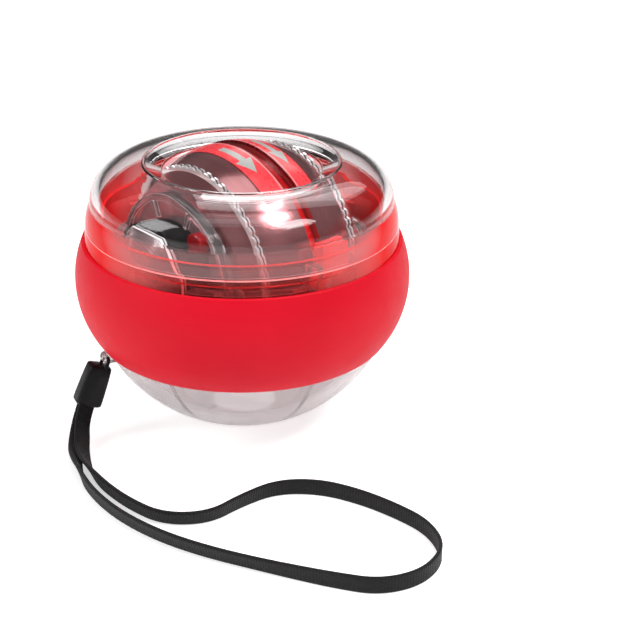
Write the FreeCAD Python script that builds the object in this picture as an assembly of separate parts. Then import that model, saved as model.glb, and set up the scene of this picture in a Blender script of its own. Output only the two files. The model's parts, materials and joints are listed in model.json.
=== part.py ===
import FreeCAD, Part
import math
import os

# Gyroscopic wrist ball with a spring starter and a wrist strap.
# Millimetres, +Z up, origin at the middle of the flat foot that the ball stands on.
# Every size that can be set by itself has one name here. Places are stacked outwards
# from the rotor, so a piece follows the one that it fits.

V = FreeCAD.Vector

# Rotor
rotor_radius = 25.0
rotor_left_cap = 9.0
rotor_right_cap = 3.5
label_width = 5.5
label_thickness = 0.6
label_count = 3
label_spacing = 48.0
label_middle = 84.0
groove_width = 2.9
groove_depth = 1.8
hub_screw_circle = 6.5
hub_screw_count = 3
hub_screw_first = 30.0
hub_screw_radius = 0.9
hub_screw_head_radius = 1.7
hub_screw_head_height = 1.4
hub_screw_depth = 9.0
left_recess_radius = 11.0
left_recess_depth = 3.4
right_recess_radius = 9.0
right_recess_depth = 3.5
weight_inner_radius = 13.0
weight_rim = 2.35
weight_width = 6.0
thumb_ring_width = 1.4
thumb_ring_inset = 3.1
thumb_ring_depth = 1.1
thumb_ring_proud = 0.35
thumb_ring_teeth = 60
thumb_tooth_height = 0.55
thumb_crest_shares = (0.3, 0.7)

# Axle
axle_azimuth = 47.0
axle_core_radius = 2.5
axle_radius = 1.5
axle_tip_radius = 1.0
axle_tip_length = 2.5

# Ring that carries the axle and turns inside the ball
ring_gap = 1.2
ring_wall = 2.8
ring_height = 6.0
guide_boss_radius = 4.4
guide_stub_radius = 2.7
guide_collar = 0.45
guide_roller_radius = 3.5
guide_roller_width = 1.0
guide_pad_width = 10.6
guide_pad_cover = 0.7
guide_post_width = 6.7
guide_post_rise = 9.0
end_plate_gap = 0.7
end_plate_thickness = 1.6
end_plate_edge = 1.4
end_rim_height = 0.9
end_rim_width = 1.1
end_rib_width = 0.9
end_rib_count = 9

# Spring starter on the left end of the axle
barrel_radius = 12.8
barrel_wall = 1.2
barrel_length = 5.9
barrel_bevel = 0.5
barrel_ear_offset = 1.7
barrel_ear_radius = 1.9
starter_screw_count = 3
starter_screw_first = 48.0
starter_screw_radius = 0.75
starter_head_radius = 1.35
starter_head_height = 0.9
arbor_radius = 3.2
arbor_reach = 2.7
spring_thickness = 0.35
spring_wall_gap = 0.2
spring_turns = 7
spring_side_gap = 0.3
spring_arbor_gap = 0.5
ratchet_tip_radius = 5.4
ratchet_tooth_depth = 0.9
ratchet_teeth = 12
ratchet_width = 2.0
ratchet_face_share = 0.06
pawl_circle = 8.6
pawl_boss_radius = 1.3
pawl_pin_radius = 0.6
pawl_tip_angle = 38.0
pawl_tip_gap = 0.25
pawl_tip_width = 0.7
pawl_pin_seat = 1.5
cover_sides = 8
cover_setback = 0.4
cover_skirt = 1.2
cover_bevel_in = 4.0
cover_bevel_length = 1.9
cover_recess_radius = 8.0
cover_recess_depth = 1.3
cover_spigot_wall = 1.1
cover_spigot_length = 0.7

# Bushes for the axle
bush_wall = 1.1
bush_flange = 0.8
bush_flange_thickness = 0.5

# Race that the ring's rollers and the axle's tips run in
track_gap = 0.4
track_height = 2.2
race_floor_thickness = 3.0
race_ledge_width = 1.5
race_ledge_height = 2.0
race_wall = 1.1
race_collar_rise = 2.2
race_collar_wall = 0.8
roller_side_gap = 0.2
roller_end_gap = 0.12

# Clear shells
shell_wall = 2.05
shell_fit = 0.15
foot_radius = 7.5
rotor_rise = 3.7
opening_radius = 16.9
mouth_radius = 20.4
lip_clearance = 0.95
lip_height = 2.2
lip_edge = 0.6
bead_width = 0.9
bead_height = 0.35
spigot_length = 1.7
rim_step = 1.0
shell_rib_count = 6
shell_rib_thickness = 1.0
shell_rib_depth = 1.5
shell_rib_first = 242.0

# Outline of the upper shell, as shares of the ball's radius
seam_rise_share = 0.345
seam_radius_share = 0.9855
shoulder_rise_share = 0.497
shoulder_radius_share = 0.951
shoulder_mid_share = 0.55
crown_side_share = 0.62
crown_top_share = 0.60
shell_rib_low_share = 0.16
shell_rib_high_share = 0.60

# Silicone grip band
band_thickness = 2.2
band_edge = 0.6
band_drop = 13.4
band_rise = 8.4
band_belly_drop = 1.5
band_edge_round = 0.25

# Wrist strap: eye on the lower shell, thin cord, moulded clip, woven strap
eye_azimuth = 205.4
eye_drop = 15.0
eye_width = 1.7
eye_reach = 1.1
eye_wall = 0.75
cord_diameter = 0.8
cord_leg = 2.0
cord_hang_angle = 22.0
clip_length = 9.3
clip_width = 5.8
clip_depth = 4.3
clip_offset = 0.9
clip_bevel = 1.1
clip_top_round = 0.3
clip_ridge = 0.35
clip_ridge_width = 1.2
strap_width = 3.6
strap_thickness = 0.8
strap_strand_gap = 0.24
strap_lead = 1.9
strap_facet_turn = 12.0
strap_corner_share = 0.45
strap_floor_gap = 0.05
strap_outer_drop = [(-34.8, -17.8, 4.2), (-34.9, -20.4, 2.95), (-34.8, -23.8, 2.1)]
strap_inner_drop = [(-33.4, -24.6, 2.1), (-33.8, -21.2, 2.95), (-34.2, -18.6, 4.2)]
strap_floor_route = [
    (-34.3, -27.6), (-33.0, -32.4), (-29.9, -39.7), (-25.0, -46.8), (-18.9, -52.9),
    (-11.8, -58.0), (-4.1, -62.0), (3.9, -65.2), (12.1, -68.15), (20.3, -70.8),
    (28.8, -72.8), (37.0, -69.3), (41.4, -61.4), (38.8, -52.8), (32.5, -46.8),
    (25.4, -41.8), (17.4, -38.3), (8.6, -38.6), (1.6, -44.0), (-4.3, -50.4),
    (-13.3, -51.1), (-20.4, -46.0), (-26.3, -39.6), (-30.4, -33.2), (-32.4, -28.4),
]

# Clearances
running_fit = 0.08
press_gap = 0.03
roller_gap = 0.05
overrun = 2.0
same_place = 0.001

# Stack of radii from the rotor outwards, and heights from the foot upwards
rotor_left_end = rotor_radius - rotor_left_cap
rotor_right_end = rotor_radius - rotor_right_cap
ring_inner = rotor_radius + ring_gap
ring_outer = ring_inner + ring_wall
track_inner = ring_outer + track_gap
boss_face = math.sqrt((track_inner - track_gap / 2) ** 2 - guide_boss_radius ** 2)
guide_rise = guide_roller_radius - track_height / 2 + roller_gap
roller_inner = track_inner + roller_side_gap
roller_outer = roller_inner + guide_roller_width
race_wall_inner = math.hypot(roller_outer, guide_roller_radius) + roller_end_gap
race_outer = race_wall_inner + race_wall
shell_inner = race_outer + shell_fit
ball_radius = shell_inner + shell_wall
ball_height = math.sqrt(ball_radius ** 2 - foot_radius ** 2)
rotor_height = ball_height + rotor_rise
race_floor = rotor_height - track_height / 2
race_bottom = race_floor - race_floor_thickness
seam_height = ball_height + seam_rise_share * ball_radius
seam_radius = seam_radius_share * ball_radius
shoulder_height = ball_height + shoulder_rise_share * ball_radius
shoulder_radius = shoulder_radius_share * ball_radius
spigot_outer = seam_radius - rim_step - press_gap
spigot_inner = spigot_outer - rim_step
lip_low = rotor_height + math.sqrt((rotor_radius + lip_clearance) ** 2 - opening_radius ** 2)
lip_top = lip_low + lip_height
crown_top = lip_top - bead_height
label_start = groove_width / 2
label_end = label_start + label_width

# Stack of radii about the axle, from the barrel
barrel_ear_circle = barrel_radius + barrel_ear_offset
end_plate_radius = barrel_ear_circle + barrel_ear_radius + end_plate_edge
cover_radius = barrel_radius - cover_setback
cover_front_radius = cover_radius - cover_bevel_in

# Places along the axle, counted from the rotor's middle, left end positive
plate_in = rotor_left_end + end_plate_gap
plate_out = plate_in + end_plate_thickness
barrel_out = plate_out + barrel_length
cover_mid = barrel_out + cover_skirt
cover_out = cover_mid + cover_bevel_length
left_recess_floor = rotor_left_end - left_recess_depth
right_recess_floor = rotor_right_end - right_recess_depth
tip_end = race_outer - roller_side_gap
tip_start = tip_end - axle_tip_length


# Ways of making solids

def flat(pair):
    """Point of an outline: radius and height in the XZ plane."""
    return V(pair[0], 0, pair[1])


def outline(start, *steps):
    """Closed face in the XZ plane. A step is a point, an arc (through, end) or a curve of 3."""
    edges = []
    here = start
    for step in steps + (start,):
        if not isinstance(step[0], tuple):
            if not flat(here).isEqual(flat(step), same_place):
                edges.append(Part.makeLine(flat(here), flat(step)))
            here = step
            continue
        end = step[-1]
        if len(step) == 2:
            edges.append(Part.Arc(flat(here), flat(step[0]), flat(end)).toShape())
        else:
            curve = Part.BezierCurve()
            curve.setPoles([flat(here)] + [flat(p) for p in step])
            edges.append(curve.toShape())
        here = end
    return Part.Face(Part.Wire(edges))


def turned(face):
    """Solid of revolution about Z of an outline."""
    return face.revolve(V(0, 0, 0), V(0, 0, 1), 360)


def tube(inner, outer, low, high):
    """Plain ring about Z; a solid disc or rod where inner is zero."""
    rod = Part.makeCylinder(outer, high - low, V(0, 0, low))
    if inner <= 0:
        return rod
    bore = Part.makeCylinder(inner, high - low + 2 * overrun, V(0, 0, low - overrun))
    return rod.cut(bore)


def polygon_prism(corners, low, high):
    """Prism along Z over a closed polygon of (x, y) corners."""
    points = [V(x, y, low) for x, y in corners]
    face = Part.Face(Part.makePolygon(points + [points[0]]))
    return face.extrude(V(0, 0, high - low))


def around(radius, degrees):
    angle = math.radians(degrees)
    return radius * math.cos(angle), radius * math.sin(angle)


def frame_of(origin, x_axis, y_axis, z_axis):
    """Placement that carries the X, Y and Z axes onto the given ones."""
    m = FreeCAD.Matrix(
        x_axis.x, y_axis.x, z_axis.x, origin.x,
        x_axis.y, y_axis.y, z_axis.y, origin.y,
        x_axis.z, y_axis.z, z_axis.z, origin.z,
        0, 0, 0, 1,
    )
    return FreeCAD.Placement(m)


def placed(shape, frame):
    moved = shape.copy()
    moved.Placement = frame.multiply(moved.Placement)
    return moved


def sphere_width(radius, along):
    """Radius of the circle that a sphere has at a distance along its axis."""
    return math.sqrt(radius ** 2 - along ** 2)


UP = V(0, 0, 1)
axle_angle = math.radians(axle_azimuth)
AXLE = V(-math.sin(axle_angle), -math.cos(axle_angle), 0)
SIDE = UP.cross(AXLE)
ROTOR_CENTRE = V(0, 0, rotor_height)
AXLE_FRAME = frame_of(ROTOR_CENTRE, SIDE, UP, AXLE)


def on_axle(shape):
    """Carries a solid made about Z to the axle: Z along it, Y up, X to the front guide."""
    return placed(shape, AXLE_FRAME)


def guide_frame(side):
    """Frame of a guide boss: Z points outwards, side is 1 at the front and -1 at the rear."""
    outwards = SIDE * side
    centre = ROTOR_CENTRE + UP * guide_rise
    return frame_of(centre, UP.cross(outwards), UP, outwards)


# Shells, band and race

def wall_radius(offset, height):
    """Radius of the lower shell's outside, moved out by offset, at a height."""
    if height <= ball_height:
        return math.sqrt((ball_radius + offset) ** 2 - (height - ball_height) ** 2)
    rise = seam_height - ball_height
    lean = ball_radius - seam_radius
    bow = (rise ** 2 + lean ** 2) / (2 * lean)
    return ball_radius - bow + math.sqrt((bow + offset) ** 2 - (height - ball_height) ** 2)


def lower_arc(offset, low, high):
    """Arc step along the lower shell from one height to another."""
    middle = (low + high) / 2
    return (wall_radius(offset, middle), middle), (wall_radius(offset, high), high)


def shell_rib(number):
    """Upright rib inside the lower shell."""
    outer = Part.makeSphere(shell_inner + shell_wall / 2, V(0, 0, ball_height))
    inner = Part.makeSphere(shell_inner - shell_rib_depth, V(0, 0, ball_height))
    low = shell_rib_low_share * ball_height
    high = shell_rib_high_share * ball_height
    slab = Part.makeBox(
        shell_inner, shell_rib_thickness, high - low, V(0, -shell_rib_thickness / 2, low)
    )
    slab.rotate(V(0, 0, 0), UP, shell_rib_first + 360 / shell_rib_count * number)
    return slab.common(outer).cut(inner)


def eye_frame():
    """Frame of the strap eye: X out of the ball, Y along the hole, Z up."""
    x, y = around(1, eye_azimuth)
    outwards = V(x, y, 0)
    height = ball_height - eye_drop
    centre = outwards * (wall_radius(0, height) + eye_reach) + UP * height
    return frame_of(centre, outwards, UP.cross(outwards), UP)


eye_hole_radius = cord_diameter / 2 + running_fit
eye_outer_radius = eye_hole_radius + eye_wall


def strap_eye():
    """Small moulded eye on the lower shell and its hole, both about the eye's own frame."""
    ring = Part.makeCylinder(eye_outer_radius, eye_width, V(0, -eye_width / 2, 0), V(0, 1, 0))
    root = Part.makeBox(
        eye_reach + shell_wall / 2, eye_width, 2 * eye_outer_radius,
        V(-eye_reach - shell_wall / 2, -eye_width / 2, -eye_outer_radius),
    )
    hole = Part.makeCylinder(
        eye_hole_radius, eye_width + 2 * overrun, V(0, -eye_width / 2 - overrun, 0), V(0, 1, 0)
    )
    return placed(ring.fuse(root), eye_frame()), placed(hole, eye_frame())


def lower_shell():
    inner_top = seam_height - spigot_length
    ledge_low = race_bottom - race_ledge_height
    inner_edge = wall_radius(-shell_wall, ledge_low)
    bottom_mid = ball_height - (ball_radius - shell_wall) * math.sin(math.pi / 4)
    face = outline(
        (0, 0),
        (foot_radius, 0),
        lower_arc(0, 0, ball_height),
        lower_arc(0, ball_height, seam_height),
        (seam_radius - rim_step, seam_height),
        (seam_radius - rim_step, inner_top),
        (shell_inner, inner_top),
        (shell_inner, race_bottom),
        (shell_inner - race_ledge_width, race_bottom),
        (shell_inner - race_ledge_width, ledge_low + race_ledge_width / 2),
        (inner_edge, ledge_low),
        (
            (wall_radius(-shell_wall, bottom_mid), bottom_mid),
            (0, ball_height - ball_radius + shell_wall),
        ),
    )
    shell = turned(face)
    for number in range(shell_rib_count):
        shell = shell.fuse(shell_rib(number))
    eye, hole = strap_eye()
    return shell.fuse(eye).cut(hole).removeSplitter()


def upper_shell():
    """Clear crown with a beaded mouth; its wall runs down and in to the opening."""
    shoulder_mid_height = seam_height + shoulder_mid_share * (shoulder_height - seam_height)
    lean = seam_radius - shoulder_radius
    mid_radius = seam_radius - lean * shoulder_mid_share ** 2
    bead_outer = mouth_radius + bead_width
    side_rise = shoulder_height + crown_side_share * (crown_top - shoulder_height)
    top_reach = bead_outer + crown_top_share * (shoulder_radius - bead_outer)
    inner_shoulder = shoulder_radius - shell_wall
    inner_side = side_rise - shell_wall / 2
    inner_reach = bead_outer + crown_top_share * (inner_shoulder - bead_outer)
    inner_top = crown_top - shell_wall
    edge_middle = opening_radius + lip_edge / 2
    face = outline(
        (seam_radius, seam_height),
        ((mid_radius, shoulder_mid_height), (shoulder_radius, shoulder_height)),
        ((shoulder_radius, side_rise), (top_reach, crown_top), (bead_outer, crown_top)),
        ((mouth_radius + bead_width / 2, lip_top), (mouth_radius, crown_top)),
        (edge_middle, lip_low + lip_edge / 2),
        ((opening_radius, lip_low), (edge_middle, lip_low - lip_edge / 2)),
        (bead_outer, inner_top),
        ((inner_reach, inner_top), (inner_shoulder, inner_side), (inner_shoulder, shoulder_height)),
        (spigot_inner, seam_height),
        (spigot_inner, seam_height - spigot_length),
        (spigot_outer, seam_height - spigot_length),
        (spigot_outer, seam_height),
    )
    return turned(face)


def grip_band():
    low = ball_height - band_drop
    high = ball_height + band_rise
    belly = ball_height - band_belly_drop
    gap = press_gap
    face = outline(
        (wall_radius(gap, low), low),
        (wall_radius(gap + band_edge, low), low),
        (
            (ball_radius + band_thickness, belly),
            (wall_radius(gap + band_edge, high), high),
        ),
        (wall_radius(gap, high), high),
        lower_arc(gap, high, ball_height),
        lower_arc(gap, ball_height, low),
    )
    band = turned(face)
    rims = [
        edge for edge in band.Edges
        if edge.Curve.TypeId == "Part::GeomCircle"
        and edge.Curve.Radius > wall_radius(gap + band_edge / 2, edge.Curve.Center.z)
        and min(abs(edge.Curve.Center.z - low), abs(edge.Curve.Center.z - high)) < press_gap
    ]
    return band.makeFillet(band_edge_round, rims)


def race_lower():
    return tube(track_inner, race_outer, race_bottom, race_floor)


def race_upper():
    """Roof of the race, with a thin collar that stands up inside the upper shell."""
    roof = race_floor + track_height
    ledge = seam_height - spigot_length
    lean = (spigot_inner - shoulder_radius + shell_wall) / (shoulder_height - seam_height)
    collar_outer = spigot_inner - press_gap
    collar_top = seam_height + race_collar_rise
    top_outer = collar_outer - lean * race_collar_rise
    face = outline(
        (race_wall_inner, roof),
        (race_outer, roof),
        (race_outer, ledge),
        (collar_outer, ledge),
        (collar_outer, seam_height),
        (top_outer, collar_top),
        (top_outer - race_collar_wall, collar_top),
        (race_wall_inner, seam_height),
    )
    return turned(face)


# Ring with its guides and bushes

left_bush_outer = axle_radius + running_fit + bush_wall


def gimbal_ring():
    low = rotor_height - ring_height / 2
    high = rotor_height + ring_height / 2
    pad_top = rotor_height + guide_rise + guide_boss_radius + guide_pad_cover
    hoop = tube(ring_inner, ring_outer, low, high)
    tall = tube(ring_inner, ring_outer, low, pad_top)
    strip = Part.makeBox(
        2 * (ring_outer + overrun), pad_top, guide_pad_width,
        V(-ring_outer - overrun, -ring_height / 2, -guide_pad_width / 2),
    )
    ring = hoop.fuse(tall.common(on_axle(strip)))
    room = tube(0, barrel_radius + track_gap, plate_out, ring_outer + overrun)
    ring = ring.cut(on_axle(room))
    ring = ring.fuse(end_plate())
    for side in (1, -1):
        bore = Part.makeCylinder(guide_boss_radius + press_gap, ring_outer + overrun)
        ring = ring.cut([placed(bore, guide_frame(side)), guide_bar(side, press_gap)])
    bore = tube(0, left_bush_outer + press_gap, -ring_outer - overrun, -ring_inner + overrun)
    return ring.cut(on_axle(bore)).removeSplitter()


def starter_screw_angles():
    step = 360 / starter_screw_count
    return [starter_screw_first + step * n for n in range(starter_screw_count)]


def end_plate():
    """Plate across the left end of the rotor, joined to the ring on both sides."""
    disc = tube(0, end_plate_radius, plate_in, plate_out)
    reach = math.sqrt(((ring_inner + ring_outer) / 2) ** 2 - plate_in ** 2)
    bar = Part.makeBox(
        2 * reach, ring_height, end_plate_thickness, V(-reach, -ring_height / 2, plate_in)
    )
    rim = tube(end_plate_radius - end_rim_width, end_plate_radius, plate_in, plate_out + end_rim_height)
    inside = ring_inner + ring_wall / 2
    plate = disc.fuse([bar, rim])
    step = 360 / end_rib_count
    for number in range(end_rib_count):
        angle = 90 + step * (number + 0.5)
        rib = Part.makeBox(
            end_plate_radius - end_rim_width / 2 - barrel_radius - track_gap,
            end_rib_width, end_rim_height,
            V(barrel_radius + track_gap, -end_rib_width / 2, plate_out),
        )
        rib.rotate(V(0, 0, 0), UP, angle)
        nearest = min(abs((angle - a + 180) % 360 - 180) for a in starter_screw_angles())
        if nearest > step / 2:
            plate = plate.fuse(rib)
    plate = plate.cut(tube(0, arbor_radius + running_fit, plate_in - overrun, plate_out + overrun))
    for angle in starter_screw_angles():
        x, y = around(barrel_ear_circle, angle)
        hole = tube(0, starter_screw_radius + press_gap, plate_in - overrun, plate_out + overrun)
        hole.translate(V(x, y, 0))
        plate = plate.cut(hole)
    return on_axle(plate).common(
        Part.makeCylinder(inside, 2 * end_plate_radius, V(0, 0, rotor_height - end_plate_radius))
    )


def guide_bar(side, play):
    """Upright bar over a guide boss, from the ring's middle outwards, wider by the play."""
    half_width = guide_post_width / 2 + play
    bar = Part.makeBox(
        2 * half_width, guide_post_rise + play, ring_outer + overrun, V(-half_width, 0, 0)
    )
    return placed(bar, guide_frame(side))


def guide_boss(side):
    """Red boss in the ring with an upright post and a round stub that the roller turns on."""
    body = tube(0, guide_boss_radius, ring_inner, boss_face)
    collar = tube(0, guide_stub_radius + guide_collar, boss_face, roller_inner - running_fit)
    stub = tube(0, guide_stub_radius, boss_face, roller_outer)
    boss = placed(body.fuse([collar, stub]), guide_frame(side))
    post_top = rotor_height + guide_rise + guide_post_rise
    post = tube(ring_inner, ring_outer, rotor_height, post_top).common(guide_bar(side, 0))
    return boss.fuse(post).removeSplitter()


def guide_roller(side):
    roller = tube(guide_stub_radius + running_fit, guide_roller_radius, roller_inner, roller_outer)
    return placed(roller, guide_frame(side))


def flanged_bush(inner_end, outer_end):
    """Bush with its flange at the outer end, along Z."""
    bore = axle_radius + running_fit
    outer = bore + bush_wall
    body = tube(bore, outer, inner_end, outer_end)
    flange = tube(bore, outer + bush_flange, outer_end, outer_end + bush_flange_thickness)
    return body.fuse(flange).removeSplitter()


def bush_left():
    return on_axle(flanged_bush(barrel_out, cover_out))


def bush_right():
    flange = axle_radius + running_fit + bush_wall + bush_flange
    return on_axle(flanged_bush(-ring_outer, -sphere_width(ring_inner, flange)))


# Spring starter

def spring_barrel():
    cup = tube(0, barrel_radius, plate_out, barrel_out)
    for angle in starter_screw_angles():
        x, y = around(barrel_ear_circle, angle)
        ear = tube(0, barrel_ear_radius, plate_out, plate_out + barrel_wall)
        ear.translate(V(x, y, 0))
        web = Part.makeBox(
            barrel_ear_circle, 2 * barrel_ear_radius, barrel_wall,
            V(0, -barrel_ear_radius, plate_out),
        )
        web.rotate(V(0, 0, 0), UP, angle)
        cup = cup.fuse([ear, web])
    cup = cup.cut(tube(0, barrel_radius - barrel_wall, plate_out + barrel_wall, barrel_out + overrun))
    cup = cup.cut(tube(0, arbor_radius + spring_arbor_gap, plate_out - overrun, barrel_out))
    for angle in starter_screw_angles():
        x, y = around(barrel_ear_circle, angle)
        hole = tube(0, starter_screw_radius + press_gap, plate_out - overrun, barrel_out)
        hole.translate(V(x, y, 0))
        cup = cup.cut(hole)
    return on_axle(cup.removeSplitter())


def starter_screws():
    screws = []
    for angle in starter_screw_angles():
        x, y = around(barrel_ear_circle, angle)
        seat = plate_out + barrel_wall
        shank = tube(0, starter_screw_radius, plate_in + press_gap, seat)
        head = tube(0, starter_head_radius, seat, seat + starter_head_height)
        screw = shank.fuse(head)
        screw.translate(V(x, y, 0))
        screws.append(on_axle(screw))
    return Part.makeCompound(screws)


def cover_corners(radius, height):
    step = 360 / cover_sides
    corners = [around(radius, step * (n + 0.5)) for n in range(cover_sides)]
    points = [V(x, y, height) for x, y in corners]
    return Part.makePolygon(points + [points[0]])


def spring_cover():
    """Clear eight-sided cap over the barrel, with the left bush in its middle."""
    skirt = Part.Face(cover_corners(cover_radius, barrel_out)).extrude(V(0, 0, cover_skirt))
    bevel = Part.makeLoft(
        [cover_corners(cover_radius, cover_mid), cover_corners(cover_front_radius, cover_out)],
        True, True,
    )
    cap = skirt.fuse(bevel)
    hub = left_bush_outer + bush_wall
    recess = tube(hub, cover_recess_radius, barrel_out - overrun, barrel_out + cover_recess_depth)
    inside = barrel_radius - barrel_wall - press_gap
    spigot = tube(
        inside - cover_spigot_wall, inside, barrel_out - cover_spigot_length, barrel_out
    )
    cap = cap.cut(recess).fuse(spigot)
    cap = cap.cut(tube(0, left_bush_outer + press_gap, barrel_out - overrun, cover_out + overrun))
    return on_axle(cap.removeSplitter())


spring_low = plate_out + barrel_wall + spring_side_gap
spring_high = barrel_out - cover_spigot_length - spring_side_gap
spring_inner = arbor_radius + spring_arbor_gap + spring_thickness
spring_outer = barrel_radius - barrel_wall - spring_wall_gap - spring_thickness
spring_pitch = (spring_outer - spring_inner) / spring_turns


def spiral_edges(radius):
    """Half-turn arcs of a flat spiral that grows by the pitch in each turn."""
    edges = []
    here = V(radius, 0, spring_low)
    centre = 0.0
    step = spring_pitch / 2
    for half in range(2 * spring_turns):
        sign = 1 if half % 2 == 0 else -1
        reach = radius + step * half
        centre = here.x - sign * reach
        through = V(centre, sign * reach, spring_low)
        end = V(centre - sign * reach, 0, spring_low)
        edges.append(Part.Arc(here, through, end).toShape())
        here = end
    return edges, here


def mainspring():
    """Flat spiral strip, wound from the arbor out to the barrel's wall."""
    inner, inner_end = spiral_edges(spring_inner)
    outer, outer_end = spiral_edges(spring_inner + spring_thickness)
    start = Part.makeLine(V(spring_inner, 0, spring_low),
                          V(spring_inner + spring_thickness, 0, spring_low))
    end = Part.makeLine(inner_end, outer_end)
    wire = Part.Wire(Part.__sortEdges__(inner + outer + [start, end]))
    strip = Part.Face(wire).extrude(V(0, 0, spring_high - spring_low))
    return on_axle(strip)


def spring_arbor():
    start = rotor_left_end - arbor_reach
    return on_axle(tube(axle_radius + running_fit, arbor_radius, start, spring_high))


def ratchet_wheel():
    corners = []
    step = 360 / ratchet_teeth
    for tooth in range(ratchet_teeth):
        corners.append(around(ratchet_tip_radius, step * tooth))
        corners.append(around(ratchet_tip_radius - ratchet_tooth_depth,
                              step * (tooth + ratchet_face_share)))
    start = rotor_left_end - arbor_reach
    wheel = polygon_prism(corners, start, start + ratchet_width)
    bore = tube(0, arbor_radius + press_gap, start - overrun, start + ratchet_width + overrun)
    return on_axle(wheel.cut(bore))


def pawl(number):
    """Pawl that drops towards the ratchet wheel, pivoted in the rotor's left recess."""
    start = rotor_left_end - arbor_reach
    tip = around(ratchet_tip_radius + pawl_tip_gap, pawl_tip_angle)
    back = around(ratchet_tip_radius + pawl_tip_gap + pawl_tip_width, pawl_tip_angle)
    heel = (pawl_circle - pawl_boss_radius * math.cos(math.pi / 4),
            pawl_boss_radius * math.sin(math.pi / 4))
    crest = (pawl_circle + pawl_boss_radius * math.cos(math.pi / 4),
             pawl_boss_radius * math.sin(math.pi / 4))
    arm = polygon_prism([(pawl_circle, 0), crest, back, tip, heel], start, start + ratchet_width)
    boss = tube(0, pawl_boss_radius, start, start + ratchet_width)
    boss.translate(V(pawl_circle, 0, 0))
    hole = tube(0, pawl_pin_radius + running_fit, start - overrun, start + ratchet_width + overrun)
    hole.translate(V(pawl_circle, 0, 0))
    body = boss.fuse(arm).cut(hole).removeSplitter()
    body.rotate(V(0, 0, 0), UP, 90 + 180 * number)
    return on_axle(body)


def pawl_pins():
    pins = []
    for number in range(2):
        pin = tube(0, pawl_pin_radius, left_recess_floor - pawl_pin_seat,
                   rotor_left_end - arbor_reach + ratchet_width + press_gap)
        x, y = around(pawl_circle, 90 + 180 * number)
        pin.translate(V(x, y, 0))
        pins.append(on_axle(pin))
    return Part.makeCompound(pins)


# Rotor

hub_bore = axle_core_radius + press_gap
weight_outer_radius = rotor_radius - label_thickness - weight_rim
seat_radius = rotor_radius - label_thickness


def sphere_arc(radius, start, end):
    middle = (start + end) / 2
    return (sphere_width(radius, middle), middle), (sphere_width(radius, end), end)


def label_arcs(inner, outer, low, high, play):
    """Arcs about the axle between two spheres, one for each label, shorter by the play."""
    face = outline(
        (sphere_width(inner, low), low),
        (sphere_width(outer, low), low),
        sphere_arc(outer, low, high),
        (sphere_width(inner, high), high),
        sphere_arc(inner, high, low),
    )
    step = 360 / label_count
    sweep = step - label_spacing - 2 * math.degrees(play / rotor_radius)
    arcs = []
    for number in range(label_count):
        arc = face.revolve(V(0, 0, 0), UP, sweep)
        arc.rotate(V(0, 0, 0), UP, label_middle + step * number - sweep / 2)
        arcs.append(arc)
    return arcs


def rotor_half(end, recess_radius, recess_depth):
    """One half of the rotor's casing with its weight pocket, end recess and seats."""
    pocket_end = label_start + weight_width
    face = outline(
        (hub_bore, label_start),
        (hub_bore, end - recess_depth),
        (recess_radius, end - recess_depth),
        (recess_radius, end),
        (sphere_width(rotor_radius, end), end),
        sphere_arc(rotor_radius, end, label_start),
        (weight_outer_radius, label_start),
        (weight_outer_radius, pocket_end),
        (weight_inner_radius, pocket_end),
        (weight_inner_radius, label_start),
    )
    half = turned(face).cut(thumb_seat())
    seats = label_arcs(seat_radius, rotor_radius + overrun, label_start - overrun, label_end, 0)
    return half.cut(seats)


def hub_screw_places():
    step = 360 / hub_screw_count
    return [around(hub_screw_circle, hub_screw_first + step * n) for n in range(hub_screw_count)]


def drilled(shape, low, high):
    """Cuts the holes of the screws that hold the rotor's halves together."""
    for x, y in hub_screw_places():
        hole = tube(0, hub_screw_radius + press_gap, low, high)
        hole.translate(V(x, y, 0))
        shape = shape.cut(hole)
    return shape


def rotor_half_left():
    half = rotor_half(rotor_left_end, left_recess_radius, left_recess_depth)
    half = drilled(half, -overrun, hub_screw_depth)
    for number in range(2):
        x, y = around(pawl_circle, 90 + 180 * number)
        seat = tube(0, pawl_pin_radius + press_gap, left_recess_floor - pawl_pin_seat,
                    rotor_left_end)
        seat.translate(V(x, y, 0))
        half = half.cut(seat)
    return on_axle(half)


def rotor_half_right():
    half = rotor_half(rotor_right_end, right_recess_radius, right_recess_depth)
    half = half.mirror(V(0, 0, 0), UP)
    return on_axle(drilled(half, -rotor_right_end, overrun))


def rotor_screws():
    screws = []
    for x, y in hub_screw_places():
        shank = tube(0, hub_screw_radius, -right_recess_floor, hub_screw_depth - press_gap)
        head = tube(0, hub_screw_head_radius, -right_recess_floor - hub_screw_head_height,
                    -right_recess_floor)
        screw = shank.fuse(head)
        screw.translate(V(x, y, 0))
        screws.append(on_axle(screw))
    return Part.makeCompound(screws)


def groove_disc():
    disc = tube(hub_bore, rotor_radius - groove_depth, -label_start, label_start)
    return on_axle(drilled(disc, -label_start - overrun, label_start + overrun))


def label_band(side):
    """Band of labels in their seats, on the left half (1) or the right half (-1)."""
    arcs = label_arcs(seat_radius + press_gap, rotor_radius, label_start, label_end - press_gap,
                      press_gap)
    band = Part.makeCompound(arcs)
    if side < 0:
        band = band.mirror(V(0, 0, 0), UP)
    return on_axle(band)


def weight_ring(side):
    gap = press_gap
    ring = tube(weight_inner_radius + gap, weight_outer_radius - gap,
                label_start + gap, label_start + weight_width - gap)
    if side < 0:
        ring = ring.mirror(V(0, 0, 0), UP)
    return on_axle(ring)


thumb_ring_high = rotor_left_end - thumb_ring_inset
thumb_ring_low = thumb_ring_high - thumb_ring_width
thumb_ring_widest = sphere_width(rotor_radius, thumb_ring_low)
thumb_seat_radius = thumb_ring_widest - thumb_ring_depth


def thumb_seat():
    """Groove that a thumb ring sits in."""
    return tube(thumb_seat_radius, rotor_radius, thumb_ring_low, thumb_ring_high)


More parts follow.
